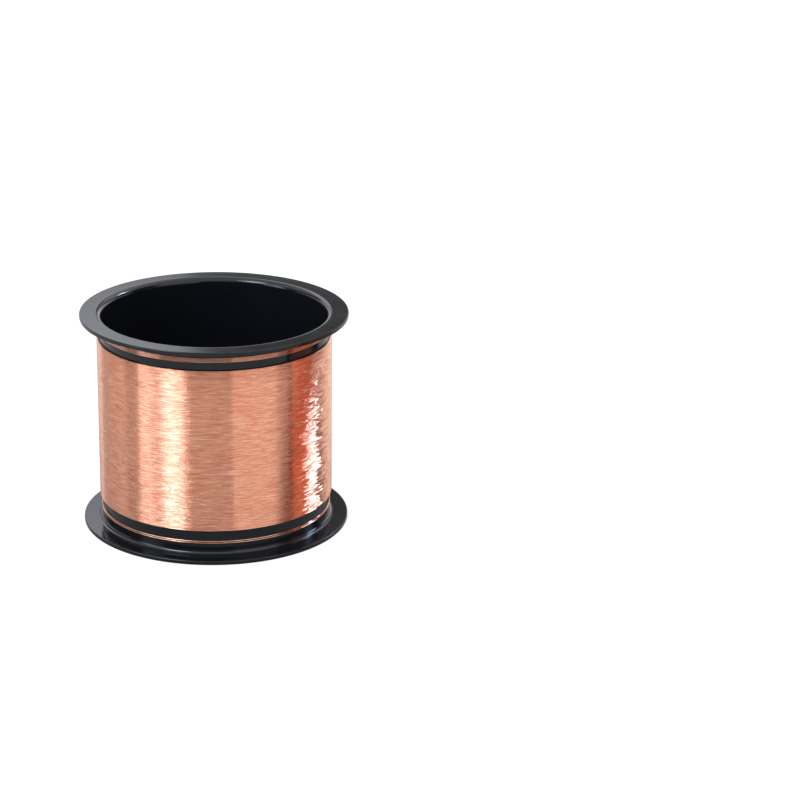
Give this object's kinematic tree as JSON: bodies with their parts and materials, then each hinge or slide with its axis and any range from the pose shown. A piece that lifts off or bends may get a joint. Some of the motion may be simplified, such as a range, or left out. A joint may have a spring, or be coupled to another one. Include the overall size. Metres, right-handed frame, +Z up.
{
  "type": "flanged wire spool",
  "caption": "Thin-walled black spool with two narrow flanges and a wide through bore, wound with bright fine copper wire between two narrow lead-turn bands.",
  "frame": {"origin": "centre of the lower flange's face, on the bore's axis, where the spool stands", "axes": "+Z up along the bore's axis; +Y towards the side where the strand's ends and crossovers lie"},
  "size_m": [0.0584, 0.0584, 0.0476],
  "materials": {
    "black_anodised": "gloss black anodised aluminium, fine turned",
    "copper_wire": "bright bare copper wire, hair fine, close wound",
    "amber_film": "clear amber adhesive film"
  },
  "bodies": {
    "root": {"spool_shell": "black_anodised", "winding_core": "copper_wire", "outer_turns": "copper_wire", "start_band": "copper_wire", "start_turns": "copper_wire", "finish_band": "copper_wire", "finish_turns": "copper_wire", "start_film": "amber_film", "finish_film": "amber_film"}
  },
  "joints": []
}
